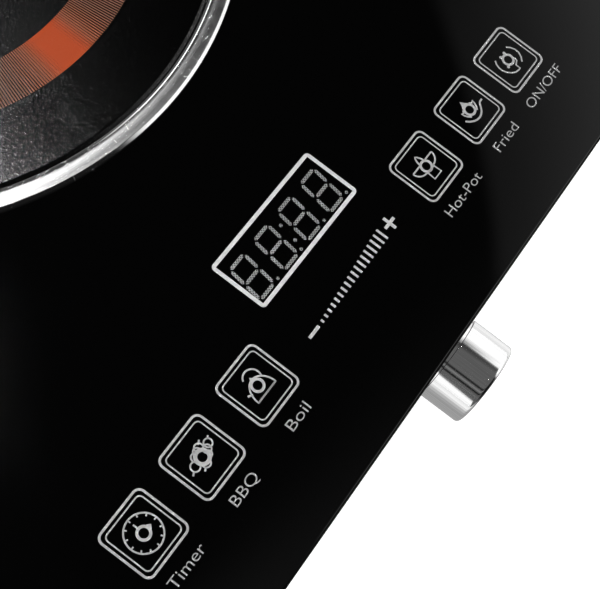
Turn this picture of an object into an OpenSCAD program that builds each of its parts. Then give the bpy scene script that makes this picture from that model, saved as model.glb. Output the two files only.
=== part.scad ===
// Portable infrared hot plate: a bevelled black glass panel on a plastic housing, one round
// glass-ceramic cooking disc in a steel trim ring, a row of touch keys and a front knob.
// X runs along the front edge, Y runs to the back, Z is up. Z = 0 is the table.

/* [Glass panel] */
// Width of the glass panel
panel_w = 290; // [286:1:310]
// Depth of the glass panel, front to back
panel_d = 365; // [360:1:390]
// Thickness of the glass panel
panel_t = 4; // [3.5:0.5:5]
// Corner radius of the glass panel, seen from above
panel_r = 9; // [8:1:14]
// Polished bevel along the top edge
panel_bevel = 0.8; // [0.4:0.1:1.2]
// Height of the panel's top above the table
panel_top = 65; // [65:1:70]

/* [Cooking zone] */
// Distance from the panel's front edge to the zone's centre
zone_from_front = 224; // [222:1:228]
// Outer diameter of the steel trim ring
ring_od = 230; // [228:1:234]
// Visible width of the trim ring
ring_w = 6.5; // [6:0.1:6.8]
// Height of the trim ring above the panel
ring_rise = 1.6; // [1.2:0.1:2.2]
// Height of the cooking disc above the panel
disc_rise = 0.7; // [0.3:0.1:1]
// Thickness of the cooking disc
disc_t = 4; // [3.5:0.5:4]

/* [Touch row] */
// Side of a touch key's printed square
key_size = 17.5; // [16:0.5:19]
// Distance from the panel's front edge to the middle of the key row
row_from_front = 38.5; // [36:0.5:40]
// Sideways offset of the printed row from the middle of the panel
row_shift = -7.1; // [-9:0.1:0]
// Distance from the row's middle to the nearest key on each side
key_inner = 44.1; // [42:0.1:46]
// Pitch of the keys
key_pitch = 25.6; // [24:0.1:26]
// Pitch between the last two keys on the right, which sit closer
key_last_pitch = 23.8; // [22:0.1:26]

/* [Knob] */
// Diameter of the knob
knob_d = 28; // [26:0.5:30]
// How far the knob stands out in front of the glass
knob_reach = 16; // [14:1:18]
// Depth of the knob's axis below the top of the glass
knob_drop = 21; // [20.5:0.5:22]

/* [Housing] */
// Height of the rubber feet
foot_h = 8; // [7:1:9]
// Wall thickness of the plastic housing
wall = 2.6; // [2.4:0.1:3]
// How far the housing sits in from the panel's edge
inset = 3; // [2:0.5:4]

/* [Fan] */
// Side of the square fan frame
fan_size = 80; // [76:1:80]
// Thickness of the fan
fan_t = 15; // [15:0.5:17]
// Number of fan blades
fan_blades = 7; // [5:1:9]

/* [Hidden] */
$fn = 72;
slip = 0.05; // radial clearance of a shaft in its bearing

// Plan positions
y_front = -(panel_d - knob_reach) / 2;
y_rear = y_front + panel_d;
y_mid = (y_front + y_rear) / 2;
zone_y = y_front + zone_from_front;
row_y = y_front + row_from_front;
case_w = panel_w - 2 * inset;
case_d = panel_d - 2 * inset;
case_r = panel_r - 1;
wall_y = y_front + inset;      // outer face of the front wall
back_y = y_rear - inset;       // outer face of the rear wall

// Levels
glass_z = panel_top - panel_t; // underside of the glass
seal_t = 0.6;
frame_top = glass_z - seal_t;
frame_t = 2.5;
frame_under = frame_top - frame_t;
seam_z = 50;                   // where the frame's skirt meets the bottom case
lip_h = 4;                     // the case's lip stands this far inside the skirt
floor_z = foot_h + wall;       // upper face of the case's floor
chamfer = 9;                   // slope along the bottom edge of the case

// Trim ring and disc
ring_ri = ring_od / 2 - ring_w;
sheet = 0.8;                   // sheet steel
disc_r = ring_ri - 0.2;
cutout_r = ring_ri + sheet + 0.7;
seat_ri = ring_ri - 5;
disc_top = panel_top + disc_rise;
disc_z = disc_top - disc_t;
disc_seal_t = 0.5;
seat_top = disc_z - disc_seal_t;
frame_hole_r = cutout_r + 2;

// Heater
pan_r = 100;
pan_h = 22;
pan_z = 37;
insul_t = 10;
insul_wall = 9;
heater_top = disc_z - 0.2;
ribbon_t = 0.6;
ribbon_h = 5;
ribbon_z = pan_z + sheet + insul_t;
tab_a = -60;                   // direction of the terminals, seen from above
tab_z = pan_z + 8.4;
tab_ys = [8, -4];
tab_reach = pan_r + 12;
spring_count = 3;
spring_at = 70;
spring_post = 16;              // top of the case's spring posts
cutout_a = -20;                // direction of the rod, seen from above
cutout_z = disc_z - 6.2;
cutout_rod_r = 2;

// Touch row
keys_left = [for (i = [2:-1:0]) row_shift - key_inner - i * key_pitch];
keys_right = [key_inner, key_inner + key_pitch, key_inner + key_pitch + key_last_pitch];
keys = concat(keys_left, [for (x = keys_right) row_shift + x]);
display_y = row_y + 21.3;
board_t = 1.6;
touch_z = 53;                  // upper face of the control board
control_w = 234;
control_d = 53;
control_y = row_y + 10;
window_w = control_w - 16;
window_d = control_d - 10;
control_post_x = control_w / 2 - 4;
control_post_y = control_d / 2 - 3;

// Knob and encoder
knob_z = panel_top - knob_drop;
knob_r = knob_d / 2;
knob_gap = 1;                  // from the wall to the knob's back
knob_tip = inset + knob_reach;
knob_rim = 1.3;                // rounding of the front rim
knob_step = 0.9;               // the skirt at the back is this much smaller
shaft_r = 3;
bush_r = 3.5;
core_r = 12;

// Power board
power_w = 158;
power_d = 82;
power_x = 43;
power_y = y_front + 65;
power_z = 17;
power_top = power_z + board_t;
power_post = [power_w / 2 - 5, power_d / 2 - 5];

// Fan
fan_x = -86;
fan_y = y_front + 75;
fan_bore = fan_size / 2 - 2.5;
fan_hub = 13;
fan_screw = fan_size / 2 - 4;
fan_z = floor_z;
fan_axle = 1.5;

// Housing fasteners and feet
pillar_x = panel_w / 2 - 17;
pillar_ys = [y_front + 18, y_front + 128, y_rear - 18];
pillar_top = 40;
foot_x = panel_w / 2 - 36;
foot_ys = [y_front + 23, y_rear - 23];
foot_r = 11;
feet = [
    ["foot_front_left", -foot_x, foot_ys[0]],
    ["foot_front_right", foot_x, foot_ys[0]],
    ["foot_rear_left", -foot_x, foot_ys[1]],
    ["foot_rear_right", foot_x, foot_ys[1]]
];

// Heater leads, and where each passes through the plate
lead_d = 2.4;
lead_pass = [68, 58];

// Air slots
slot_w = 3;
slot_l = 20;
slot_pitch = 6;
slot_z = 33;
rear_slots_x = -22;

// Mains inlet
gland_x = 98;
gland_z = 28;
gland_bore = 3.7;

// Plate between the heater's chamber and the electronics
baffle_y = y_front + 118;
baffle_t = 1;
baffle_corner = 5.5;

// ---------- shared shapes ----------

module rounded(w, d, r) {
    square([w - 2 * r, d], center = true);
    square([w, d - 2 * r], center = true);
    for (x = [-1, 1], y = [-1, 1])
        translate([x * (w / 2 - r), y * (d / 2 - r)]) circle(r);
}

module slab(w, d, h, r) {
    linear_extrude(h) rounded(w, d, r);
}

// A slab whose sides lean in by the same amount all round, from radius r0 below to r1 above
module leaning(w, d, h, r0, r1) {
    lean = r0 - r1;
    cw = w - 2 * r0;
    cd = d - 2 * r0;
    rotate([90, 0, 90]) linear_extrude(cw, center = true)
        polygon([[-d / 2, 0], [d / 2, 0], [d / 2 - lean, h], [lean - d / 2, h]]);
    rotate([90, 0, 0]) linear_extrude(cd, center = true)
        polygon([[-w / 2, 0], [w / 2, 0], [w / 2 - lean, h], [lean - w / 2, h]]);
    for (x = [-1, 1], y = [-1, 1])
        translate([x * cw / 2, y * cd / 2]) cylinder(h, r0, r1);
}

module tube(h, ro, ri) {
    difference() {
        cylinder(h, r = ro);
        translate([0, 0, -1]) cylinder(h + 2, r = ri);
    }
}

// A slot with round ends, cut through along Z, its long side along X
module slot(l, w, h) {
    translate([0, 0, h / 2]) cube([l - w, w, h], center = true);
    for (x = [-1, 1]) translate([x * (l - w) / 2, 0]) cylinder(h, d = w, $fn = 24);
}

// Cross-slotted pan-head screw pointing up, its head's underside at z = 0
module screw(d, l, head_d, head_h) {
    difference() {
        union() {
            cylinder(l, d = d, $fn = 24);
            translate([0, 0, -head_h]) cylinder(head_h, d = head_d, $fn = 32);
        }
        translate([0, 0, -head_h - 0.01]) for (a = [0, 90])
            rotate(a) translate([-head_d * 0.3, -0.35, 0]) cube([head_d * 0.6, 0.7, head_h * 0.6]);
    }
}

// Coil spring standing on z = 0
module coil(r, wire, h, turns, steps = 12, sides = 6) {
    n = turns * steps;
    rise = h - wire;
    ring = [for (i = [0:n]) for (s = [0:sides - 1])
        let (a = 360 * i / steps, b = 360 * s / sides, rr = r + wire / 2 * cos(b))
            [rr * cos(a), rr * sin(a), wire / 2 + rise * i / n + wire / 2 * sin(b)]];
    walls = [for (i = [0:n - 1]) for (s = [0:sides - 1])
        let (t = (s + 1) % sides)
            [i * sides + s, (i + 1) * sides + s, (i + 1) * sides + t, i * sides + t]];
    ends = [[for (s = [0:sides - 1]) s], [for (s = [sides - 1:-1:0]) n * sides + s]];
    polyhedron(ring, concat(walls, ends));
}

// Round wire along a list of points
function unit(v) = v / norm(v);
module wire(points, d, sides = 8) {
    n = len(points);
    dirs = [for (i = [0:n - 1])
        unit(points[min(i + 1, n - 1)] - points[max(i - 1, 0)])];
    ring = [for (i = [0:n - 1])
        let (t = dirs[i], u = unit(cross(t, [0.31, 0.17, 0.93])), v = cross(t, u))
            for (s = [0:sides - 1])
                points[i] + d / 2 * (cos(360 * s / sides) * u + sin(360 * s / sides) * v)];
    walls = [for (i = [0:n - 2]) for (s = [0:sides - 1])
        let (t = (s + 1) % sides)
            [i * sides + s, (i + 1) * sides + s, (i + 1) * sides + t, i * sides + t]];
    ends = [[for (s = [0:sides - 1]) s], [for (s = [sides - 1:-1:0]) (n - 1) * sides + s]];
    polyhedron(ring, concat(walls, ends));
}

// Smooth curve through three control points
function bend(a, b, c, n = 8) = [for (i = [0:n])
    let (t = i / n) (1 - t) * (1 - t) * a + 2 * t * (1 - t) * b + t * t * c];

// Flat spiral strip, standing on z = 0
module ribbon(r0, r1, turns, steps = 36) {
    n = turns * steps;
    outer = [for (i = [0:n]) let (a = 360 * i / steps, r = r0 + (r1 - r0) * i / n + ribbon_t / 2)
        [r * cos(a), r * sin(a)]];
    inner = [for (i = [n:-1:0]) let (a = 360 * i / steps, r = r0 + (r1 - r0) * i / n - ribbon_t / 2)
        [r * cos(a), r * sin(a)]];
    linear_extrude(ribbon_h) polygon(concat(outer, inner));
}

// Plan position of a point given from the heater's centre, along its terminals' direction
function at_heater(p) = [
    p[0] * cos(tab_a) - p[1] * sin(tab_a),
    zone_y + p[0] * sin(tab_a) + p[1] * cos(tab_a)
];

module at_zone() translate([0, zone_y, 0]) children();

// Local +Z points out of the front wall, with z = 0 on the wall's outer face
module at_knob() translate([0, wall_y, knob_z]) rotate([90, 0, 0]) children();

// Local +Z points out of the rear wall, with z = 0 on the wall's outer face
module at_gland() translate([gland_x, back_y, gland_z]) rotate([-90, 0, 0]) children();

// ---------- glass top ----------

module glass_panel() color([0.02, 0.02, 0.025]) difference() {
    translate([0, y_mid, glass_z]) {
        slab(panel_w, panel_d, panel_t - panel_bevel, panel_r);
        translate([0, 0, panel_t - panel_bevel])
            leaning(panel_w, panel_d, panel_bevel, panel_r, panel_r - panel_bevel);
    }
    at_zone() translate([0, 0, glass_z - 1]) cylinder(panel_t + 2, r = cutout_r, $fn = 180);
}

module cooking_disc() color([0.05, 0.05, 0.055]) at_zone() translate([0, 0, disc_z])
    rotate_extrude($fn = 180)
        polygon([[0, 0], [disc_r, 0], [disc_r, disc_t - 0.4], [disc_r - 0.4, disc_t], [0, disc_t]]);

// Spun from sheet: a bevelled flange on the glass, a wall through the cut-out, a seat for the disc
module trim_ring() color([0.75, 0.75, 0.76]) at_zone() rotate_extrude($fn = 180) polygon([
    [ring_od / 2, panel_top],
    [ring_od / 2, panel_top + 0.3],
    [ring_od / 2 - 1.2, panel_top + ring_rise - 0.2],
    [ring_od / 2 - 1.5, panel_top + ring_rise - 0.3],
    [ring_ri + 1, panel_top + ring_rise - 0.3],
    [ring_ri + 0.7, panel_top + ring_rise],
    [ring_ri + 0.2, panel_top + ring_rise],
    [ring_ri, panel_top + ring_rise - 0.2],
    [ring_ri, seat_top],
    [seat_ri, seat_top],
    [seat_ri, seat_top - sheet],
    [ring_ri + sheet, seat_top - sheet],
    [ring_ri + sheet, panel_top]
]);

module disc_seal() color([0.1, 0.1, 0.1]) at_zone()
    translate([0, 0, seat_top]) tube(disc_seal_t, disc_r - 0.3, seat_ri + 0.5, $fn = 120);

module panel_seal() color([0.12, 0.12, 0.12]) {
    translate([0, y_mid, frame_top]) difference() {
        slab(case_w - 4, case_d - 4, seal_t, case_r - 2);
        translate([0, 0, -1]) slab(case_w - 14, case_d - 14, seal_t + 2, 3);
    }
    at_zone() translate([0, 0, frame_top]) tube(seal_t, frame_hole_r + 5, frame_hole_r + 1);
}

module glass_frame() color([0.13, 0.13, 0.14]) difference() {
    union() {
        difference() {
            translate([0, y_mid, seam_z]) slab(case_w, case_d, frame_top - seam_z, case_r);
            translate([0, y_mid, seam_z - 1])
                slab(case_w - 2 * wall, case_d - 2 * wall, frame_under - seam_z + 1, case_r - wall);
            translate([0, y_mid, seam_z - 1])
                slab(case_w - wall, case_d - wall, lip_h + 1.3, case_r - wall / 2);
        }
        for (x = [-1, 1], y = pillar_ys)
            translate([x * pillar_x, y, pillar_top]) cylinder(frame_under - pillar_top + 1, r = 4);
        for (x = [-1, 1], y = [-1, 1])
            translate([row_shift + x * control_post_x, control_y + y * control_post_y, touch_z])
                cylinder(frame_under - touch_z + 1, r = 2.6);
    }
    at_zone() translate([0, 0, frame_under - 1]) cylinder(frame_t + 2, r = frame_hole_r);
    translate([row_shift, control_y, frame_under - 1]) slab(window_w, window_d, frame_t + 2, 3);
    for (x = [-1, 1], y = pillar_ys)
        translate([x * pillar_x, y, pillar_top - 1]) cylinder(15, r = 1.5, $fn = 24);
    for (x = [-1, 1], y = [-1, 1])
        translate([row_shift + x * control_post_x, control_y + y * control_post_y, touch_z - 1])
            cylinder(6, r = 1, $fn = 24);
}

// ---------- housing ----------

// The case as a solid block, its sides moved in by a given amount and its floor at z0
module case_body(inward, z0) {
    w = case_w - 2 * inward;
    d = case_d - 2 * inward;
    r = case_r - inward;
    r_low = max(r - chamfer, 0.5);
    lean = r - r_low;
    translate([0, y_mid, z0 + lean]) mirror([0, 0, 1]) leaning(w, d, lean, r, r_low);
    translate([0, y_mid, z0 + lean]) slab(w, d, seam_z - z0 - lean, r);
}

// Straight slots that fill a circle, so each is as long as its chord
module round_grille(r, pitch, w, h) {
    n = floor((r - w) / pitch);
    for (i = [-n:n]) translate([0, i * pitch]) slot(2 * sqrt(r * r - i * i * pitch * pitch), w, h);
}

module bottom_case() color([0.11, 0.11, 0.12]) difference() {
    union() {
        difference() {
            case_body(0, foot_h);
            case_body(wall, floor_z);
            translate([0, y_mid, seam_z - 1]) slab(case_w - 2 * wall, case_d - 2 * wall, 3, case_r - wall);
        }
        difference() {
            translate([0, y_mid, seam_z - 3])
                slab(case_w - wall - 0.3, case_d - wall - 0.3, lip_h + 3, case_r - wall / 2 - 0.15);
            translate([0, y_mid, seam_z - 4])
                slab(case_w - 2 * wall, case_d - 2 * wall, lip_h + 5, case_r - wall);
        }
        for (x = [-1, 1], y = pillar_ys)
            translate([x * pillar_x, y, floor_z - 1]) cylinder(pillar_top - floor_z + 1, r = 4.5);
        for (f = feet) translate([f[1], f[2], floor_z - 1]) cylinder(7, r = 4);
        for (x = [-1, 1], y = [-1, 1])
            translate([power_x + x * power_post[0], power_y + y * power_post[1], floor_z - 1])
                cylinder(power_z - floor_z + 1, r = 3);
        for (i = [0:spring_count - 1]) at_zone() rotate(90 + 360 / spring_count * i)
            translate([spring_at, 0, floor_z - 1]) cylinder(spring_post - floor_z + 1, r = 6);
    }
    // clearance for each case screw's shank, and a counterbore for its head
    for (x = [-1, 1], y = pillar_ys) translate([x * pillar_x, y, foot_h - 1]) {
        cylinder(pillar_top, r = 1.8, $fn = 24);
        cylinder(8, r = 3.4, $fn = 32);
    }
    for (f = feet) translate([f[1], f[2], foot_h - 1]) cylinder(8.5, r = 1.25, $fn = 24);
    for (x = [-1, 1], y = [-1, 1])
        translate([power_x + x * power_post[0], power_y + y * power_post[1], floor_z])
            cylinder(8, r = 1.1, $fn = 24);
    // fan intake, and the four holes of the fan's screws
    translate([fan_x, fan_y, foot_h - 1]) round_grille(fan_bore - 1, slot_pitch, slot_w, wall + 2);
    for (x = [-1, 1], y = [-1, 1])
        translate([fan_x + x * fan_screw, fan_y + y * fan_screw, foot_h - 1])
            cylinder(wall + 2, r = 1.6, $fn = 24);
    // second intake under the power board
    translate([power_x + 10, power_y, foot_h - 1]) for (i = [-5:5])
        translate([i * slot_pitch, 0]) rotate(90) slot(44, slot_w, wall + 2);
    // outlet slots in the rear wall and both side walls
    for (i = [-13:13]) translate([rear_slots_x + i * slot_pitch, back_y - wall / 2, slot_z])
        rotate([-90, 90, 0]) translate([0, 0, -wall]) slot(slot_l, slot_w, 2 * wall);
    for (x = [-1, 1], i = [-6:6])
        translate([x * (case_w / 2 - wall / 2), zone_y + i * slot_pitch, slot_z])
            rotate([0, 90, 0]) translate([0, 0, -wall]) slot(slot_l, slot_w, 2 * wall);
    at_knob() translate([0, 0, -wall - 1]) cylinder(wall + 2, r = bush_r + 0.2);
    at_gland() translate([0, 0, -wall - 1]) cylinder(wall + 2, r = 6.2);
}

module foot() color([0.07, 0.07, 0.07]) rotate_extrude() polygon([
    [4.2, 0], [foot_r - 1, 0], [foot_r, 1], [foot_r - 1.2, foot_h],
    [1.7, foot_h], [1.7, foot_h - 3], [4.2, foot_h - 3]
]);

module foot_screws() color([0.6, 0.6, 0.62]) for (f = feet)
    translate([f[1], f[2], foot_h - 3]) screw(2.4, 8, 7, 2);

module case_screws() color([0.6, 0.6, 0.62]) for (x = [-1, 1], y = pillar_ys)
    translate([x * pillar_x, y, foot_h + 7]) screw(2.9, 38, 6, 2.2);

// ---------- knob and encoder ----------

module knob_shell() color([0.82, 0.82, 0.83]) at_knob() difference() {
    rotate_extrude($fn = 120) polygon(concat(
        [[0, knob_gap], [knob_r - 1.5, knob_gap], [knob_r - knob_step, knob_gap + 0.6],
         [knob_r - knob_step, inset + 1.2], [knob_r, inset + 1.9]],
        [for (a = [0:15:90]) [knob_r - knob_rim * (1 - cos(a)), knob_tip - knob_rim * (1 - sin(a))]],
        [[0, knob_tip]]
    ));
    translate([0, 0, knob_gap - 1]) cylinder(14 - knob_gap, r = core_r);
    cylinder(16.2, r = 5.7);
}

module knob_core() color([0.16, 0.16, 0.17]) at_knob() difference() {
    union() {
        translate([0, 0, 11]) cylinder(2, r = core_r - 0.02);
        translate([0, 0, 6]) cylinder(10, r = 5.6);
    }
    translate([0, 0, 5]) intersection() {
        cylinder(10.2, r = shaft_r + 0.02);
        translate([-5, -5, 0]) cube([10, 5 + 1.52, 12]);
    }
}

module encoder_shaft() color([0.78, 0.78, 0.8]) at_knob() difference() {
    translate([0, 0, -9]) cylinder(24, r = shaft_r);
    translate([-5, 1.5, 5.5]) cube([10, 5, 12]);
}

module encoder_bushing() color([0.8, 0.72, 0.5]) at_knob() translate([0, 0, -wall - 0.2])
    tube(wall + 5.2, bush_r, shaft_r + slip);

module encoder_body() color([0.5, 0.52, 0.55]) at_knob() difference() {
    translate([-6.5, -6, -wall - 7.2]) cube([13, 12, 7]);
    translate([0, 0, -wall - 6.6]) cylinder(8, r = shaft_r + slip);
}

module encoder_nut() color([0.75, 0.75, 0.77]) at_knob() translate([0, 0, 0.6]) difference() {
    cylinder(2, d = 11.5, $fn = 6);
    translate([0, 0, -1]) cylinder(4, r = bush_r + 0.02);
}

module encoder_washer() color([0.75, 0.75, 0.77]) at_knob() tube(0.6, 5.6, bush_r + 0.1);

module encoder_board() color([0.1, 0.3, 0.16]) at_knob()
    translate([-11, -9, -wall - 7.2 - board_t]) cube([22, 17, board_t]);

// ---------- controls under the glass ----------

module control_board() color([0.1, 0.3, 0.16]) difference() {
    translate([row_shift, control_y, touch_z - board_t]) slab(control_w, control_d, board_t, 2);
    for (x = [-1, 1], y = [-1, 1])
        translate([row_shift + x * control_post_x, control_y + y * control_post_y, touch_z - 3])
            cylinder(5, r = 1.3, $fn = 24);
}

module touch_springs() color([0.8, 0.66, 0.35]) for (x = keys)
    translate([x, row_y, touch_z]) coil(key_size / 4, 0.9, glass_z - touch_z, 4, 12, 5);

module key_lamps() color([0.9, 0.9, 0.88]) for (x = keys) translate([x, row_y, touch_z]) {
    cylinder(4, r = 1.5, $fn = 24);
    translate([0, 0, 4]) sphere(1.5, $fn = 24);
}

module slider_pad() color([0.2, 0.2, 0.2])
    translate([row_shift - 22, row_y - 5, touch_z]) cube([44, 7, glass_z - touch_z - 0.2]);

module display_module() color([0.08, 0.08, 0.09]) translate([row_shift - 0.7, display_y, touch_z])
    slab(46, 15.6, glass_z - touch_z - 0.3, 0.5);

module control_board_screws() color([0.6, 0.6, 0.62]) for (x = [-1, 1], y = [-1, 1])
    translate([row_shift + x * control_post_x, control_y + y * control_post_y, touch_z - board_t])
        screw(1.9, 5.5, 4.2, 1.4);

// ---------- fan ----------

module at_fan() translate([fan_x, fan_y, fan_z]) children();

module fan_frame() color([0.08, 0.08, 0.08]) at_fan() {
    difference() {
        slab(fan_size, fan_size, fan_t, 4);
        translate([0, 0, -1]) cylinder(fan_t + 2, r = fan_bore);
        for (x = [-1, 1], y = [-1, 1])
            translate([x * fan_screw, y * fan_screw, -1]) cylinder(fan_t + 2, r = 1.3, $fn = 24);
    }
    difference() {
        union() {
            cylinder(2, r = fan_hub);
            for (a = [30:120:270]) rotate(a) translate([0, -2, 0]) cube([fan_bore + 0.5, 4, 2]);
            cylinder(11, r = 4.2);
        }
        translate([0, 0, 1]) cylinder(12, r = 3);
    }
}

module fan_bearing() color([0.75, 0.62, 0.38]) at_fan() translate([0, 0, 1]) tube(10, 3, fan_axle + slip);

module fan_stator() color([0.72, 0.42, 0.2]) at_fan() translate([0, 0, 2.6]) {
    tube(7, 6.4, 4.2);
    for (a = [0:90:270]) rotate(a) translate([6, -3, 0.8]) cube([4.2, 6, 5.4]);
}

module fan_rotor() color([0.09, 0.09, 0.1]) at_fan() {
    difference() {
        translate([0, 0, 2.8]) cylinder(fan_t - 3.6, r = fan_hub);
        translate([0, 0, 1.8]) cylinder(fan_t - 4.2, r = fan_hub - 1.3);
    }
    intersection() {
        difference() {
            translate([0, 0, 3]) cylinder(fan_t - 4, r = fan_bore - 1);
            translate([0, 0, 2]) cylinder(fan_t, r = fan_hub - 0.5);
        }
        for (i = [0:fan_blades - 1]) rotate(360 / fan_blades * i)
            translate([fan_bore / 2 + 5, 0, fan_t / 2 + 1]) rotate([42, 0, 0])
                cube([fan_bore, 22, 1.4], center = true);
    }
}

module fan_shaft() color([0.75, 0.75, 0.77]) at_fan() translate([0, 0, 1.6])
    cylinder(fan_t - 4, r = fan_axle);

module fan_screws() color([0.6, 0.6, 0.62]) at_fan() for (x = [-1, 1], y = [-1, 1])
    translate([x * fan_screw, y * fan_screw, -wall]) screw(2.5, 12, 5.6, 1.6);

// ---------- power electronics ----------

module on_power(x, y) translate([power_x + x, power_y + y, power_top]) children();

module power_board() color([0.1, 0.3, 0.16]) difference() {
    translate([power_x, power_y, power_z]) slab(power_w, power_d, board_t, 2);
    for (x = [-1, 1], y = [-1, 1])
        translate([power_x + x * power_post[0], power_y + y * power_post[1], power_z - 1])
            cylinder(4, r = 1.6, $fn = 24);
}

module power_board_screws() color([0.6, 0.6, 0.62]) for (x = [-1, 1], y = [-1, 1])
    on_power(x * power_post[0], y * power_post[1]) mirror([0, 0, 1]) screw(2, 8, 5, 1.6);

module heat_sink() color([0.7, 0.71, 0.73]) on_power(28, 22) {
    translate([-32, -12, 0]) cube([64, 24, 4]);
    for (i = [0:9]) translate([-32 + i * 64 / 9 - (i == 9 ? 1.6 : (i == 0 ? 0 : 0.8)), -12, 3.9])
        cube([1.6, 24, 20]);
}

module triac() color([0.09, 0.09, 0.1]) on_power(28, 3) {
    translate([-5, 0, 5]) cube([10, 4.5, 15]);
    for (x = [-2.5:2.5:2.5]) translate([x - 0.4, 1.5, 0]) cube([0.8, 0.6, 5.2]);
}

module relay() color([0.12, 0.25, 0.5]) on_power(-20, 24) translate([-9.5, -8, 0]) cube([19, 16, 16]);

module transformer() color([0.85, 0.72, 0.2]) on_power(-54, 14) {
    translate([-15, -13, 3]) cube([30, 26, 20]);
    translate([-17, -9, 0]) cube([34, 18, 3.5]);
    translate([-11, -16, 6]) cube([22, 32, 14]);
}

module filter_choke() color([0.3, 0.22, 0.14]) on_power(-10, 1) {
    tube(2, 9.5, 3.5);
    translate([0, 0, 7]) rotate_extrude() translate([6.5, 0]) square([6, 10.2], center = true);
}

module filter_capacitor() color([0.75, 0.62, 0.15]) on_power(4, -18)
    translate([-13, -5.5, 0]) cube([26, 11, 19]);

module storage_capacitors() color([0.12, 0.14, 0.3]) for (x = [-34, -18])
    on_power(x, -20) cylinder(22, r = 6.3, $fn = 40);

module terminal_block() color([0.15, 0.45, 0.25]) on_power(58, -24) difference() {
    translate([-15, -6, 0]) cube([30, 12, 13]);
    for (x = [-10, 0, 10]) translate([x, 0, 6]) cylinder(8, r = 2.4, $fn = 24);
}

module fuse() color([0.85, 0.85, 0.86]) on_power(30, -24) {
    translate([-11, 0, 5]) rotate([0, 90, 0]) cylinder(22, r = 2.6, $fn = 32);
    for (x = [-9.5, 6.5]) translate([x, -3.4, 0]) cube([3, 6.8, 3.4]);
}

module buzzer() color([0.06, 0.06, 0.06]) on_power(-58, -24) difference() {
    cylinder(9, r = 6, $fn = 40);
    translate([0, 0, 7]) cylinder(3, r = 1, $fn = 24);
}

// ---------- heater ----------

module heater_pan() color([0.68, 0.68, 0.66]) at_zone() difference() {
    union() {
        translate([0, 0, pan_z]) cylinder(pan_h, r = pan_r);
        translate([0, 0, pan_z + pan_h - sheet]) cylinder(sheet, r = pan_r + 1.5);
    }
    translate([0, 0, pan_z + sheet]) cylinder(pan_h, r = pan_r - sheet);
    rotate(cutout_a) translate([pan_r - 10, 0, cutout_z]) rotate([0, 90, 0]) cylinder(20, r = 3, $fn = 32);
}

module insulation_base() color([0.86, 0.84, 0.78]) at_zone() translate([0, 0, pan_z + sheet])
    cylinder(insul_t, r = pan_r - sheet - 0.1);

module insulation_wall() color([0.9, 0.88, 0.83]) at_zone() difference() {
    translate([0, 0, ribbon_z]) cylinder(heater_top - ribbon_z, r = pan_r - sheet - 0.1);
    translate([0, 0, ribbon_z - 1]) cylinder(30, r = pan_r - insul_wall);
    rotate(cutout_a) translate([0, 0, cutout_z]) rotate([0, 90, 0]) cylinder(pan_r, r = 2.4, $fn = 32);
}

module outer_element() color([0.55, 0.3, 0.2]) at_zone() translate([0, 0, ribbon_z]) ribbon(56, 86, 4);

module inner_element() color([0.55, 0.3, 0.2]) at_zone() translate([0, 0, ribbon_z]) ribbon(14, 48, 5);

module cutout_rod() color([0.92, 0.92, 0.9]) at_zone() rotate(cutout_a) translate([8, 0, cutout_z])
    rotate([0, 90, 0]) cylinder(pan_r - 5, r = cutout_rod_r, $fn = 32);

module cutout_head() color([0.9, 0.88, 0.82]) at_zone() rotate(cutout_a)
    translate([pan_r + 3, -7, cutout_z + cutout_rod_r - 11]) cube([18, 14, 11]);

module heater_terminals() color([0.92, 0.9, 0.85]) at_zone() rotate(tab_a) {
    translate([pan_r + 0.1, -13, tab_z - 4.5]) cube([6, 26, 9]);
    for (y = tab_ys) translate([pan_r + 6, y - 3, tab_z - 0.4]) cube([tab_reach - pan_r - 6, 6, 0.8]);
}

module heater_springs() color([0.7, 0.7, 0.72]) for (i = [0:spring_count - 1])
    at_zone() rotate(90 + 360 / spring_count * i) translate([spring_at, 0, spring_post])
        coil(5, 1.2, pan_z - spring_post, 5);

module temperature_sensor() color([0.8, 0.8, 0.78]) at_zone() translate([0, 0, ribbon_z]) {
    cylinder(heater_top - ribbon_z, r = 4, $fn = 40);
}

// Upright plate between the hot side and the electronics, open along its foot for the air
module heat_baffle() color([0.72, 0.73, 0.74]) difference() {
    half = case_w / 2 - wall - 0.6;
    translate([0, baffle_y + baffle_t, 0]) rotate([90, 0, 0]) linear_extrude(baffle_t) polygon([
        [baffle_corner - half, floor_z], [half - baffle_corner, floor_z],
        [half, floor_z + baffle_corner], [half, frame_under - 0.5],
        [-half, frame_under - 0.5], [-half, floor_z + baffle_corner]
    ]);
    for (x = [-80, 0, 80]) translate([x - 34, baffle_y - 1, floor_z + 3]) cube([68, 3, 22]);
    translate([lead_pass[1] - 6, baffle_y - 1, tab_z - 5]) cube([lead_pass[0] - lead_pass[1] + 12, 3, 10]);
}

// ---------- wiring and mains inlet ----------

module cord_gland() color([0.06, 0.06, 0.06]) at_gland() difference() {
    union() {
        translate([0, 0, -wall - 6]) cylinder(wall + 6, r = 6);
        cylinder(2.5, r = 8.5);
        translate([0, 0, -wall - 2.2]) cylinder(2, r = 7.6);
    }
    translate([0, 0, -wall - 7]) cylinder(wall + 12, r = gland_bore);
}

// Flat cable from the control board down to the power board
module ribbon_cable() color([0.6, 0.6, 0.62]) translate([power_x - 76, row_y + 12, 0]) rotate([90, 0, 0])
    linear_extrude(14, center = true) polygon([
        [0, power_top], [1, power_top], [1, 30], [9, 36], [9, touch_z - board_t],
        [8, touch_z - board_t], [8, 36.6], [0, 30.6]
    ]);

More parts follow.
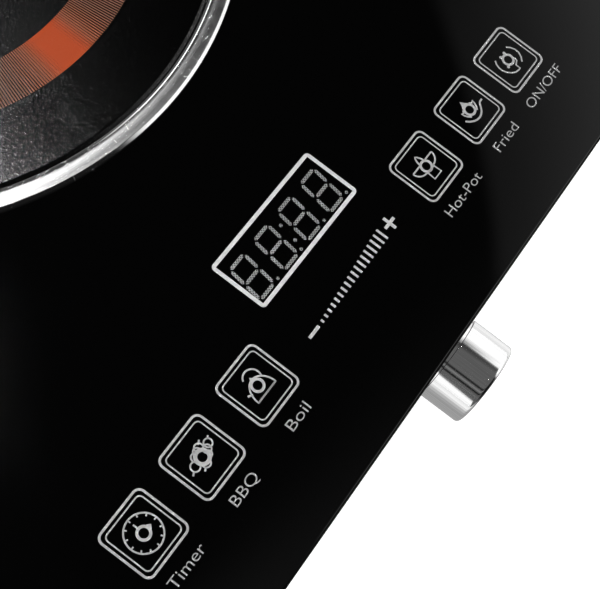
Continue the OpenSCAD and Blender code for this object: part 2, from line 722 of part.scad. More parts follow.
// Two leads: up out of the terminal block, back through the plate, on to the heater's tabs
module heater_leads() color([0.75, 0.12, 0.1]) for (k = [0, 1]) {
    foot = [power_x + 58 - 10 * k, power_y - 24, power_top + 6.2];
    pass = [lead_pass[k], baffle_y, tab_z];
    tab = [tab_reach, tab_ys[k]];
    in_line = [tab[0] + 5, tab[1]];
    turn = [foot[0], foot[1], tab_z];
    wire(concat(
        [foot],
        bend(turn - [0, 0, 9], turn, turn + 9 * unit(pass - turn)),
        bend(pass - 6 * unit(pass - turn), pass, concat(at_heater(in_line), tab_z), 4),
        [concat(at_heater(tab), tab_z)]
    ), lead_d);
}

for (f = feet) translate([f[1], f[2], 0]) foot();
glass_panel();
cooking_disc();
trim_ring();
disc_seal();
panel_seal();
glass_frame();
bottom_case();
knob_shell();
knob_core();
encoder_shaft();
encoder_bushing();
encoder_body();
encoder_nut();
encoder_washer();
encoder_board();
control_board();
touch_springs();
key_lamps();
slider_pad();
display_module();
control_board_screws();
fan_frame();
fan_rotor();
fan_shaft();
fan_bearing();
fan_stator();
fan_screws();
power_board();
power_board_screws();
heat_sink();
triac();
relay();
transformer();
filter_choke();
filter_capacitor();
storage_capacitors();
terminal_block();
fuse();
buzzer();
heater_pan();
insulation_base();
insulation_wall();
outer_element();
inner_element();
cutout_rod();
cutout_head();
heater_terminals();
heater_springs();
temperature_sensor();
heat_baffle();
cord_gland();
ribbon_cable();
heater_leads();
case_screws();
foot_screws();
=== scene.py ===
"""A portable infrared hob: black glass top, round cooking zone, touch keys and a front knob."""

import bpy
import math
from mathutils import Matrix, Vector


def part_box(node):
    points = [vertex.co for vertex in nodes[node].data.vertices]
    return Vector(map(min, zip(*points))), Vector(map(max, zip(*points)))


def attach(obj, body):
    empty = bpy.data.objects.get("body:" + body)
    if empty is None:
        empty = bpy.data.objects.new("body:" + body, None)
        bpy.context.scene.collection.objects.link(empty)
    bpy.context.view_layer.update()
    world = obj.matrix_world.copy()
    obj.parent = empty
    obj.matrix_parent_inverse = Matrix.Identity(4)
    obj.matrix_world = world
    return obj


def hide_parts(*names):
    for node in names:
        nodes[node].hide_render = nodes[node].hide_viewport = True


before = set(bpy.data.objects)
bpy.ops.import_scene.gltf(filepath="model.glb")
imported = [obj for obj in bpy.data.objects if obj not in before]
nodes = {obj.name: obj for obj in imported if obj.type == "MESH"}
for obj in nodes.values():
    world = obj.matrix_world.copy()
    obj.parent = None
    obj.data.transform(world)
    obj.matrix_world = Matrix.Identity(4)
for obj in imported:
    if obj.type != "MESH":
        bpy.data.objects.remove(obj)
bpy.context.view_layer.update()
mm = 0.001


# ------------------------------------------------------------------ glass panel
# The top is one sheet of toughened black glass, 4 mm thick, with a polished bevel all round its edge
# and a round hole for the cooking zone. A bead of silicone bonds it to the frame below.

def take(obj=None):
    """Leaves one object selected, or nothing, so that the next operator acts only on that."""
    if bpy.context.object and bpy.context.object.mode != "OBJECT":
        bpy.ops.object.mode_set(mode="OBJECT")
    bpy.ops.object.select_all(action="DESELECT")
    if obj:
        obj.select_set(True)
        bpy.context.view_layer.objects.active = obj
    return obj


def pick(obj, kind, test):
    """Goes into edit mode with only the edges or faces selected that pass the test."""
    take(obj)
    bpy.ops.object.mode_set(mode="EDIT")
    bpy.ops.mesh.select_mode(type=kind)
    bpy.ops.mesh.select_all(action="DESELECT")
    bpy.ops.object.mode_set(mode="OBJECT")
    mesh = obj.data
    if kind == "EDGE":
        for edge in mesh.edges:
            edge.select = test(*(mesh.vertices[i].co for i in edge.vertices))
    else:
        for face in mesh.polygons:
            face.select = test(face.center)
    bpy.ops.object.mode_set(mode="EDIT")


def finish_mesh(obj, name, smooth_angle=None):
    """Puts a finished piece's place and size into its mesh, names it and smooths its round faces."""
    take(obj)
    bpy.ops.object.transform_apply(location=True, rotation=True, scale=True)
    obj.name = name
    obj.data.name = name
    if smooth_angle:
        bpy.ops.object.shade_smooth_by_angle(angle=math.radians(smooth_angle))
    return obj


def apply_modifier(obj, kind, **settings):
    """Adds a modifier with the given settings and applies it."""
    take(obj)
    modifier = obj.modifiers.new(kind.lower(), kind)
    for option, value in settings.items():
        setattr(modifier, option, value)
    bpy.ops.object.modifier_apply(modifier=modifier.name)


def add(tree, kind, values=None, **settings):
    """Adds a shader node. Values fill or link its inputs, and settings are its own options."""
    made = tree.nodes.new(kind if kind.startswith("NodeGroup") else "ShaderNode" + kind)
    for option, value in settings.items():
        setattr(made, option, value)
    for socket, value in (values or {}).items():
        if isinstance(value, bpy.types.NodeSocket):
            tree.links.new(value, made.inputs[socket])
        else:
            made.inputs[socket].default_value = value
    return made


def calc(tree, operation, *values):
    """A Math node's result."""
    return add(tree, "Math", dict(enumerate(values)), operation=operation).outputs[0]


def mix(tree, amount, first, second):
    """The colour that lies between first and second by amount."""
    return add(tree, "Mix", {0: amount, 6: first, 7: second}, data_type="RGBA").outputs[2]


def ramp(tree, value, low, high, out_low=0.0, out_high=1.0):
    """Value from low to high becomes out_low to out_high, with soft ends."""
    values = {0: value, 1: low, 2: high, 3: out_low, 4: out_high}
    return add(tree, "MapRange", values, interpolation_type="SMOOTHSTEP").outputs[0]


def grey(level):
    """A neutral colour."""
    return (level, level, level, 1)


def new_group(name, inputs, outputs):
    """A shader node group whose inputs are (name, kind, value) and whose outputs are (name, kind)."""
    tree = bpy.data.node_groups.new(name, "ShaderNodeTree")
    for label, kind, value in inputs:
        socket = tree.interface.new_socket(label, in_out="INPUT", socket_type="NodeSocket" + kind)
        socket.default_value = value
    for label, kind in outputs:
        tree.interface.new_socket(label, in_out="OUTPUT", socket_type="NodeSocket" + kind)
    return tree, add(tree, "NodeGroupInput").outputs, add(tree, "NodeGroupOutput")


def new_material(name, **sockets):
    """A material's name, node tree and shader. Sockets are the shader's constants, _ for a space."""
    made = bpy.data.materials.new(name)
    made.use_nodes = True
    shader = made.node_tree.nodes["Principled BSDF"]
    for socket, value in sockets.items():
        shader.inputs[socket.replace("_", " ")].default_value = value
    return made, made.node_tree, shader


def bump(tree, shader, height, strength, distance):
    """Turns a height into the shader's normal. Distance is the relief's depth in metres."""
    values = {"Height": height, "Strength": strength, "Distance": distance}
    tree.links.new(add(tree, "Bump", values).outputs[0], shader.inputs["Normal"])


def paint(obj, material):
    """Gives a piece one material all over."""
    obj.data.materials.clear()
    obj.data.materials.append(material)


# Faint handling marks: a soft cloudy smear and a few dust specks
handling, given, result = new_group(
    "handling marks", [("Size", "Float", 1.0)], [("Smear", "Float"), ("Dust", "Float")])
place = add(handling, "TexCoord").outputs["Object"]
smear = add(handling, "TexNoise", {"Vector": place, "Scale": 14, "Detail": 4, "Roughness": 0.6,
                                   "Distortion": 0.8})
speck = add(handling, "TexVoronoi", {"Vector": place, "Scale": calc(handling, "MULTIPLY", given[0], 420),
                                     "Randomness": 1})
handling.links.new(ramp(handling, smear.outputs[0], 0.35, 0.75), result.inputs["Smear"])
handling.links.new(ramp(handling, speck.outputs[0], 0.05, 0.015), result.inputs["Dust"])

glass_low, glass_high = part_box("glass_panel")
ring_low, ring_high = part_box("trim_ring")
disc_low, disc_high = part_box("cooking_disc")
glass_top = glass_high.z
zone_x = (ring_low.x + ring_high.x) / 2
zone_y = (ring_low.y + ring_high.y) / 2
disc_r = (disc_high.x - disc_low.x) / 2

panel_corner_r = 9 * mm
panel_bevel = 0.8 * mm
panel_hole_r = disc_r + 1.7 * mm
sharp_edge_break = 0.1 * mm
hairline = 0.01 * mm

take()
bpy.ops.mesh.primitive_cube_add(
    size=1, location=(glass_low + glass_high) / 2, scale=glass_high - glass_low)
panel = finish_mesh(bpy.context.object, "panel_glass")
pick(panel, "EDGE", lambda a, b: abs(a.z - b.z) > mm)
bpy.ops.mesh.bevel(offset=panel_corner_r, segments=16)
pick(panel, "EDGE", lambda a, b: min(a.z, b.z) > glass_top - hairline)
bpy.ops.mesh.bevel(offset=panel_bevel, segments=1)
take()
bpy.ops.mesh.primitive_cylinder_add(
    vertices=256, radius=panel_hole_r, depth=20 * mm, location=(zone_x, zone_y, glass_top))
hole = bpy.context.object
apply_modifier(panel, "BOOLEAN", object=hole, operation="DIFFERENCE")
bpy.data.objects.remove(hole)
apply_modifier(panel, "BEVEL", width=sharp_edge_break, segments=2, limit_method="ANGLE",
               angle_limit=math.radians(25))
finish_mesh(panel, "panel_glass", 12)

black_glass, tree, shader = new_material("black glass", IOR=1.5, Specular_IOR_Level=0.5)
marks = add(tree, "Group", node_tree=handling).outputs
tree.links.new(calc(tree, "MULTIPLY_ADD", marks["Smear"], 0.015, 0.02), shader.inputs["Roughness"])
dusty = mix(tree, calc(tree, "MULTIPLY", marks["Dust"], 0.12), grey(0.0003), grey(0.2))
tree.links.new(dusty, shader.inputs["Base Color"])
waves = add(tree, "TexNoise", {"Vector": add(tree, "TexCoord").outputs["Object"], "Scale": 9, "Detail": 1})
bump(tree, shader, waves.outputs[0], 0.2, 0.01 * mm)
paint(panel, black_glass)

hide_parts("glass_panel")
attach(panel, "casing")


# ------------------------------------------------------------------ key frames
# Each of the six touch keys is a rounded square outline with a finer one inside it. They are
# screen-printed on the glass in pale grey enamel and fired, so they stand up a few hundredths of a mm.

ink_t = 0.03 * mm
ink_bite = 0.002 * mm                           # how far the print sinks into what it is fired on
row_x = -7.35 * mm                              # middle of the printed row, left of the knob's axis
row_y = glass_low.y + 38.5 * mm
key_xs = [-94.97 * mm, -69.39 * mm, -43.84 * mm, 44.40 * mm, 69.98 * mm, 93.80 * mm]
outer_side, outer_corner, outer_line = 17.5, 2.0, 0.66
inner_side, inner_corner, inner_line = 14.7, 1.4, 0.4


def arc(x, y, r, start, end, steps=24):
    """Points in millimetres along an arc about (x, y), its angles in degrees."""
    angles = [math.radians(start + (end - start) * i / steps) for i in range(steps + 1)]
    return [(x + r * math.cos(a), y + r * math.sin(a)) for a in angles]


def rounded_box(w, h, r):
    """Points in millimetres round a rectangle with round corners, closed."""
    corners = [(1, 1, 0), (-1, 1, 90), (-1, -1, 180), (1, -1, 270)]
    points = []
    for x, y, turn in corners:
        points += arc(x * (w / 2 - r), y * (h / 2 - r), r, turn, turn + 90, 6)
    return points + points[:1]


def trace(points):
    """A line of edges through points given in millimetres, drawn by extruding one vertex."""
    take()
    bpy.ops.mesh.primitive_plane_add(size=mm)
    bpy.ops.object.mode_set(mode="EDIT")
    bpy.ops.mesh.select_mode(type="VERT")
    bpy.ops.mesh.merge(type="CENTER")
    path = [Vector((p[0], p[1], p[2] if len(p) > 2 else 0)) * mm for p in points]
    bpy.ops.transform.translate(value=path[0])
    for a, b in zip(path, path[1:]):
        bpy.ops.mesh.extrude_region_move(TRANSFORM_OT_translate={"value": b - a})
    bpy.ops.mesh.select_all(action="SELECT")
    bpy.ops.mesh.remove_doubles(threshold=0.002 * mm)
    bpy.ops.object.mode_set(mode="OBJECT")
    return bpy.context.object


def ink_line(points, width):
    """A printed line of a width in millimetres: a round wire pressed down to the print's thickness."""
    line = trace(points)
    bpy.ops.object.convert(target="CURVE")
    line = bpy.context.object
    line.data.bevel_depth = width * mm / 2
    line.data.bevel_resolution = 1
    line.data.use_fill_caps = True
    bpy.ops.object.convert(target="MESH")
    line = bpy.context.object
    line.scale.z = ink_t / (width * mm)
    bpy.ops.object.transform_apply(location=False, rotation=False, scale=True)
    return line


def ink_patch(points):
    """A printed solid patch inside an outline given in millimetres."""
    patch = trace(points)
    bpy.ops.object.mode_set(mode="EDIT")
    bpy.ops.mesh.select_all(action="SELECT")
    bpy.ops.mesh.edge_face_add()
    bpy.ops.mesh.extrude_region_move(TRANSFORM_OT_translate={"value": (0, 0, ink_t)})
    bpy.ops.mesh.select_all(action="SELECT")
    bpy.ops.mesh.normals_make_consistent(inside=False)
    bpy.ops.object.mode_set(mode="OBJECT")
    patch.location.z = -ink_t / 2
    return patch


def join(parts):
    """Joins parts into one object."""
    for part in parts:
        take(part)
        bpy.ops.object.transform_apply(location=True, rotation=True, scale=True)
    take(parts[0])
    for part in parts:
        part.select_set(True)
    bpy.ops.object.join()
    return bpy.context.object


def copy_to(obj, x, y):
    """A copy of a piece, with its own mesh, moved along the panel."""
    twin = obj.copy()
    twin.data = obj.data.copy()
    bpy.context.collection.objects.link(twin)
    twin.location = obj.location + Vector((x, y, 0))
    return twin


def lay_print(parts, name, x=0.0, y=0.0):
    """Joins printed marks and lays them on the glass, with x and y from the middle of the key row."""
    print_piece = join(parts)
    print_piece.location = (row_x + x, row_y + y, glass_top + ink_t / 2 - ink_bite)
    return finish_mesh(print_piece, name, 40)


one_key = join([ink_line(rounded_box(outer_side, outer_side, outer_corner), outer_line),
                ink_line(rounded_box(inner_side, inner_side, inner_corner), inner_line)])
key_frames = lay_print([copy_to(one_key, x, 0) for x in key_xs], "key_frames")
bpy.data.objects.remove(one_key)


def ink_material(name, level):
    """Fired enamel print: even, slightly rough, with the faint unevenness of a screen."""
    made, tree, shader = new_material(name, Roughness=0.45, IOR=1.5)
    place = add(tree, "TexCoord").outputs["Object"]
    fine = add(tree, "TexNoise", {"Vector": place, "Scale": 5200, "Detail": 2})
    broad = add(tree, "TexNoise", {"Vector": place, "Scale": 600, "Detail": 2})
    both = calc(tree, "MULTIPLY_ADD", fine.outputs[0], 0.6, calc(tree, "MULTIPLY", broad.outputs[0], 0.4))
    tone = mix(tree, ramp(tree, both, 0.3, 0.7), grey(level * 0.8), grey(level * 1.12))
    tree.links.new(tone, shader.inputs["Base Color"])
    bump(tree, shader, fine.outputs[0], 0.3, 0.01 * mm)
    return made


key_ink = ink_material("key enamel", 0.36)
paint(key_frames, key_ink)
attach(key_frames, "casing")


# ------------------------------------------------------------------ key symbols
# One picture in each key, in the same enamel: a timer dial, skewers, a kettle, a hot pot, a wok with
# its flame and two hooks for power. Each has a plain ring at its middle, where the lamp shines through.

stroke = 0.5


def dot(x, y, r):
    """A printed round spot."""
    return ink_patch(arc(x, y, r, 0, 360, 20))


def lamp_ring():
    """The ring round the clear spot in the middle of a key."""
    return ink_line(arc(0, 0, 1.8, 0, 360, 40), 0.8)


def set_in_key(parts, x):
    """Joins the parts of a symbol and moves it to its key."""
    symbol = join(parts)
    symbol.location.x = x
    return symbol


timer = [lamp_ring(), ink_line(arc(0, 0, 5.36, 0, 360, 60), 0.47)]
for hour in range(12):
    turn = math.radians(30 * hour)
    spoke = [(r * math.cos(turn), r * math.sin(turn)) for r in (5.3, 4.45)]
    timer.append(ink_line(spoke, 0.42))
timer.append(ink_line([(0, 2.0), (0, 3.55)], stroke))
timer.append(ink_patch([(2.1, 0.95), (2.1, -0.95), (3.1, 0), (2.1, 0.95)]))

skewers = [lamp_ring(), ink_line(arc(0, 0, 2.3, 0, 360, 40), stroke)]
for start, end in [((-5.7, -1.2), (-4.5, -0.55)), ((1.9, 2.95), (3.2, 3.55)),
                   ((-2.7, -2.9), (-1.6, -2.3)), ((4.9, 1.95), (5.7, 2.45))]:
    skewers.append(ink_line([start, end], stroke))
for x, y, r in [(-3.3, -0.1, 1.4), (-1.3, 1.4, 1.25), (1.35, 2.25, 1.3), (-0.6, -1.75, 1.3),
                (2.6, 0.35, 1.2), (4.05, 1.15, 1.25), (0.2, 2.0, 1.1), (1.7, -0.8, 1.0)]:
    clear = math.hypot(x, y) > r + 1.4
    away = math.degrees(math.atan2(y, x))
    sweep = 180 if clear else 110
    skewers.append(ink_line(arc(x, y, r, away - sweep, away + sweep), 0.45))

dome = [(4.05 * math.cos(a), -3.2 + 5.4 * math.sin(a)) for a in [math.pi * i / 24 for i in range(25)]]
kettle = [lamp_ring(),
          ink_line([(x + 0.15, y) for x, y in dome] + [(4.2, -3.2)], stroke),
          ink_line([(4.2, -3.2), (-3.9, -3.2)], stroke),
          ink_line([(-3.0, -0.6), (-4.4, 0.2)], 0.6),
          ink_line(arc(0.6, 2.3, 2.73, 148, -30, 24), stroke),
          ink_patch([(-0.55, 2.1), (0.95, 2.1), (0.2, 3.1), (-0.55, 2.1)])]

bowl = [(-1.9 - 3.2 * math.cos(a), 1.53 - 2.95 * math.sin(a)) for a in
        [math.pi / 2 * i / 10 for i in range(11)]]
hot_pot = [lamp_ring(),
           ink_line([(-5.1, 1.53), (-1.6, 1.53)], stroke),
           ink_line([(1.6, 1.53), (5.05, 1.53)], stroke),
           ink_line(bowl, stroke),
           ink_line([(-x, y) for x, y in bowl], stroke),
           ink_line([(-1.1, 1.7), (-0.85, 2.9), (-0.45, 3.8), (0, 4.35),
                     (0.45, 3.8), (0.85, 2.9), (1.15, 1.7)], 0.55),
           ink_line([(-1.55, -1.7), (-1.75, -4.5), (1.86, -4.5), (1.7, -1.7)], stroke),
           ink_line([(-1.9, -1.72), (2.0, -1.72)], 0.4)]

wok = [lamp_ring(),
       ink_line([(-4.4, -1.2), (-3.5, -2.35), (-2.3, -3.3), (-1.2, -3.78), (0, -3.95), (1.2, -3.72),
                 (2.3, -3.15), (3.3, -2.2), (4.1, -1.3), (4.7, -0.98), (5.9, -0.93)], 0.6),
       ink_patch([(-1.6, 1.6), (-0.75, 2.6), (0, 3.95), (0.75, 2.6), (1.6, 1.6),
                  (0.8, 2.05), (-0.8, 2.05), (-1.6, 1.6)]),
       ink_line([(-1.7, 1.5), (-2.5, 0.75), (-3.1, 1.1), (-2.9, 0.0), (-2.4, -1.0), (-1.6, -1.9)], 0.55),
       ink_line([(1.7, 1.5), (2.5, 0.75), (3.3, 1.1), (3.0, 0.0), (2.5, -1.0), (1.6, -1.9)], 0.55)]

power = [lamp_ring(),
         ink_line([(-3.3, 3.0), (-4.15, 2.0), (-4.6, 0.7), (-4.7, -0.55), (-4.2, -2.1), (-3.2, -3.5),
                   (-2.0, -4.35), (-0.7, -4.65), (0.2, -4.65), (0.2, -3.0), (1.75, -2.3), (2.1, -1.2)],
                  stroke),
         ink_line([(3.4, 3.0), (4.3, 1.8), (4.8, 0.4), (4.75, -1.2), (3.9, -2.7), (2.6, -3.9)], stroke),
         dot(-1.0, 2.3, 0.5), dot(1.1, 2.3, 0.5), dot(-2.15, -1.5, 0.5)]

pictures = [timer, skewers, kettle, hot_pot, wok, power]
symbols = lay_print([set_in_key(parts, x) for parts, x in zip(pictures, key_xs)], "key_symbols")

symbol_ink = ink_material("symbol enamel", 0.36)
paint(symbols, symbol_ink)
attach(symbols, "casing")


# ------------------------------------------------------------------ key labels
# A plain word under each key says what it does. The words are printed with the keys in one pass.

label_cap = 3.4 * mm
label_y = -15.6 * mm
font_cap = 0.729                                # cap height of the font at size 1
font_thinning = -0.006
# Each word with its printed width in millimetres
words = [("Timer", 13.65), ("BBQ", 10.3), ("Boil", 8.9),
         ("Hot-Pot", 17.85), ("Fried", 11.7), ("ON/OFF", 19.4)]


def letters(word, width):
    """A word as thin printed letters, its cap height as given and its width in millimetres."""
    take()
    bpy.ops.object.text_add()
    text = bpy.context.object
    text.data.body = word
    text.data.extrude = ink_t / 2
    text.data.offset = font_thinning
    text.data.align_x = "CENTER"
    text.data.resolution_u = 5
    bpy.ops.object.convert(target="MESH")
    text = bpy.context.object
    text.scale = (width * mm / text.dimensions.x, label_cap / font_cap, 1)
    bpy.ops.object.transform_apply(location=True, rotation=True, scale=True)
    text.location.x = -sum(corner[0] for corner in text.bound_box) / 8
    return text


lines = []
for (word, width), x in zip(words, key_xs):
    line = join([letters(word, width)])
    line.location.x = x
    lines.append(line)
labels = lay_print(lines, "key_labels", y=label_y)

label_ink = ink_material("label enamel", 0.30)
paint(labels, label_ink)
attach(labels, "casing")


# ------------------------------------------------------------------ display window
# A bold white frame is printed round the clear window. Behind the window sit four seven-segment
# digits. They are off, so each segment shows only as the pale hatch of its diffuser.

display_x = -0.48 * mm
display_y = 21.25 * mm
window_w, window_h, window_corner, window_line = 47.1, 18.05, 0.8, 1.2
digit_pitch = 11.8
first_digit_x = -19.0
digit_y = 20.0
half_digit_w, half_digit_h = 3.3, 6.0
segment_w = 1.08
slant = 0.125
hatch_pitch = 0.95 * mm

window_frame = ink_line(rounded_box(window_w, window_h, window_corner), window_line)
window_frame = lay_print([window_frame], "display_frame", display_x, display_y)
frame_ink = ink_material("frame enamel", 0.54)
paint(window_frame, frame_ink)
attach(window_frame, "casing")


def segment(x, y, length, upright):
    """One bar of a digit with pointed ends, leaning with the digit."""
    half = segment_w / 2
    points = [(-length / 2, 0), (half - length / 2, half), (length / 2 - half, half),
              (length / 2, 0), (length / 2 - half, -half), (half - length / 2, -half)]
    if upright:
        points = [(-v, u) for u, v in points]
    points = [(x + u + slant * (y + v), y + v) for u, v in points]
    return ink_patch(points + points[:1])


bars = [segment(0, half_digit_h, 6.0, False), segment(0, 0, 5.67, False),
        segment(0, -half_digit_h, 6.0, False)]
for x in (-half_digit_w, half_digit_w):
    for y in (-half_digit_h / 2, half_digit_h / 2):
        bars.append(segment(x, y, 5.1, True))
digit = join(bars)
digits = [copy_to(digit, (first_digit_x + digit_pitch * i) * mm, digit_y * mm) for i in range(4)]
bpy.data.objects.remove(digit)
points = [dot(-14.6 + digit_pitch * i, 14.0, 0.52) for i in range(4)]
colon = [dot(-0.75, 22.9, 0.56), dot(-1.7, 17.0, 0.56)]
segments = lay_print(digits + points + colon, "display_digits")

segment_print, tree, shader = new_material("segment hatch", Roughness=0.35, IOR=1.5)
across = add(tree, "SeparateXYZ", {0: add(tree, "TexCoord").outputs["Object"]}).outputs
hatches = []
for direction in (1, -1):
    along = calc(tree, "MULTIPLY_ADD", across[1], direction, across[0])
    swing = calc(tree, "SINE", calc(tree, "MULTIPLY", along, math.tau / hatch_pitch))
    hatches.append(ramp(tree, swing, 0.35, 0.95))
web = calc(tree, "MAXIMUM", *hatches)
tree.links.new(mix(tree, web, grey(0.012), grey(0.25)), shader.inputs["Base Color"])
bump(tree, shader, web, 0.3, 0.01 * mm)
paint(segments, segment_print)
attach(segments, "casing")


# ------------------------------------------------------------------ power slider
# A rising row of eighteen bars between a minus and a plus, printed over the touch pad that sets the
# power by sliding a finger along it.

def bar(x, y, w, h):
    """A printed rectangle, with x and y at the middle of its foot."""
    corners = [(x - w / 2, y), (x + w / 2, y), (x + w / 2, y + h), (x - w / 2, y + h)]
    return ink_patch(corners + corners[:1])


bar_count = 18
bar_pitch = 1.976
bar_w = 0.70
shortest_bar = 1.125
bar_growth = 0.1838
scale_marks = [bar(-21.05, -4.0, 4.7, 1.0)]
for i in range(bar_count):
    scale_marks.append(bar(-16.8 + bar_pitch * i, -4.04, bar_w, shortest_bar + bar_growth * i))

arm = 2.35
half = 0.5
plus = [(-arm, -half), (-half, -half), (-half, -arm), (half, -arm), (half, -half), (arm, -half),
        (arm, half), (half, half), (half, arm), (-half, arm), (-half, half), (-arm, half)]
plus = [(21.25 + x, -1.67 + y) for x, y in plus]
scale_marks.append(ink_patch(plus + plus[:1]))
slider = lay_print(scale_marks, "power_slider")

slider_ink = ink_material("slider enamel", 0.44)
paint(slider, slider_ink)
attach(slider, "casing")


# ------------------------------------------------------------------ cooking disc
# The zone is a round plate of black glass-ceramic, 4 mm thick, that drops into the steel ring on a
# heat-proof seal. Its face is finely pebbled and slightly matt, and its edge is ground.

def lathe(profile, steps, x=0.0, y=0.0):
    """Turns a profile of (r, z) in millimetres about the upright axis at x and y."""
    turned = trace([(r, 0, z) for r, z in profile])
    bpy.ops.object.mode_set(mode="EDIT")
    bpy.ops.mesh.select_all(action="SELECT")
    bpy.ops.mesh.spin(steps=steps, angle=math.tau, center=(0, 0, 0), axis=(0, 0, 1))
    bpy.ops.mesh.select_all(action="SELECT")
    bpy.ops.mesh.remove_doubles(threshold=0.004 * mm)
    bpy.ops.mesh.normals_make_consistent(inside=False)
    bpy.ops.object.mode_set(mode="OBJECT")
    turned.location = (x, y, 0)
    return turned


disc_mm = disc_r / mm
low = disc_low.z / mm
high = disc_high.z / mm
profile = [(0, low), (disc_mm - 0.3, low), (disc_mm, low + 0.3), (disc_mm, high - 0.6),
           (disc_mm - 0.1, high - 0.45), (disc_mm - 1.05, high - 0.06), (disc_mm - 1.25, high),
           (disc_mm - 1.5, high)]
profile += [(r, high) for r in range(100, 5, -10)] + [(0, high)]
disc = finish_mesh(lathe(profile, 192, zone_x, zone_y), "disc_ceramic", 30)

pebble, given, result = new_group(
    "pebbled face", [("Grain", "Float", 2600.0)], [("Height", "Float"), ("Fleck", "Float")])
place_on = add(pebble, "TexCoord").outputs["Object"]
cells = add(pebble, "TexNoise", {"Vector": place_on, "Scale": given[0], "Detail": 2, "Roughness": 0.6})
coarse = add(pebble, "TexNoise", {
    "Vector": place_on, "Scale": calc(pebble, "MULTIPLY", given[0], 0.4), "Detail": 1})
pebble.links.new(calc(pebble, "MULTIPLY_ADD", coarse.outputs[0], 0.4, cells.outputs[0]),
                 result.inputs["Height"])
pebble.links.new(ramp(pebble, cells.outputs[0], 0.52, 0.74), result.inputs["Fleck"])

ceramic, tree, shader = new_material("glass ceramic", IOR=1.5, Specular_IOR_Level=0.2)
grain = add(tree, "Group", {"Grain": 2200.0}, node_tree=pebble).outputs
glint = ramp(tree, grain["Height"], 0.735, 0.80)
tree.links.new(ramp(tree, grain["Height"], 0.71, 0.745), shader.inputs["Metallic"])
tree.links.new(mix(tree, glint, grey(0.0006), grey(0.048)), shader.inputs["Base Color"])
tree.links.new(calc(tree, "MULTIPLY_ADD", glint, 0.02, 0.08), shader.inputs["Roughness"])
bump(tree, shader, grain["Height"], 0.8, 0.046 * mm)
paint(disc, ceramic)
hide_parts("cooking_disc")
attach(disc, "casing")


# ------------------------------------------------------------------ zone marking
# A band of fine radial strokes printed on the disc in heat-proof orange shows where the pan goes. At
# each quarter the strokes close up into a solid patch, and away from it they thin and pale.

band_inner = 72 * mm
band_outer = 86 * mm
stroke_count = 640
patch_angle = math.radians(-94)
patch_half = math.radians(2.5)
patch_fade = math.radians(13)

take()
bpy.ops.mesh.primitive_circle_add(vertices=2 * stroke_count, radius=band_outer)
band = bpy.context.object
bpy.ops.object.mode_set(mode="EDIT")
bpy.ops.mesh.select_all(action="SELECT")
bpy.ops.mesh.extrude_edges_move()
bpy.ops.transform.resize(value=(band_inner / band_outer, band_inner / band_outer, 1))
sector = math.tau / stroke_count
pick(band, "FACE", lambda at: (math.atan2(at.y, at.x) / sector) % 1 > 0.5)
bpy.ops.mesh.delete(type="FACE")
bpy.ops.object.mode_set(mode="OBJECT")


def from_patch(angle):
    """How far an angle is from the middle of the nearest of the four solid patches."""
    quarter = math.tau / 4
    return abs((angle - patch_angle + quarter / 2) % quarter - quarter / 2)


for vertex in band.data.vertices:
    angle = math.atan2(vertex.co.y, vertex.co.x)
    middle = (math.floor(angle / sector + 1e-4) + 0.25) * sector
    if abs(angle - middle) > sector / 2:
        middle += sector
    away = max(0.0, from_patch(middle) - patch_half)
    fill = max(0.5, 1.0 - away / patch_fade)
    turned = middle + (1 if angle > middle else -1) * fill * sector / 2
    r = math.hypot(vertex.co.x, vertex.co.y)
    vertex.co = (r * math.cos(turned), r * math.sin(turned), 0)

apply_modifier(band, "SOLIDIFY", thickness=ink_t, offset=0)
band.location = (zone_x, zone_y, disc_high.z + ink_t / 2 - ink_bite)
finish_mesh(band, "zone_marking")

marking_ink, tree, shader = new_material("orange marking", Roughness=0.4, Specular_IOR_Level=0.15)
spot = add(tree, "Mapping", {"Vector": add(tree, "TexCoord").outputs["Object"],
                             "Location": (-zone_x, -zone_y, 0)})
across = add(tree, "SeparateXYZ", {0: spot.outputs[0]}).outputs
angle = calc(tree, "ARCTAN2", across[1], across[0])
near = calc(tree, "COSINE", calc(tree, "MULTIPLY", calc(tree, "SUBTRACT", angle, patch_angle), 4))
grain = add(tree, "Group", {"Grain": 2400.0}, node_tree=pebble).outputs
pale_brown = (0.155, 0.066, 0.042, 1)
warm_brown = (0.22, 0.061, 0.027, 1)
full_orange = (0.32, 0.038, 0.002, 1)
fleck_tint = (0.38, 0.14, 0.08, 1)
strokes = mix(tree, ramp(tree, near, 0.60, 0.92), pale_brown, warm_brown)
print_tone = mix(tree, ramp(tree, near, 0.89, 0.99), strokes, full_orange)
worn = mix(tree, calc(tree, "MULTIPLY", grain["Fleck"], 0.08), print_tone, fleck_tint)
tree.links.new(worn, shader.inputs["Base Color"])
bump(tree, shader, grain["Height"], 0.3, 0.03 * mm)
paint(band, marking_ink)
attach(band, "casing")


# ------------------------------------------------------------------ trim ring
# The ring is spun from stainless sheet: a shallow dished band on the glass with a bevelled outer edge
# and a rolled inner lip, a wall down through the cut-out, and a seat that carries the disc.

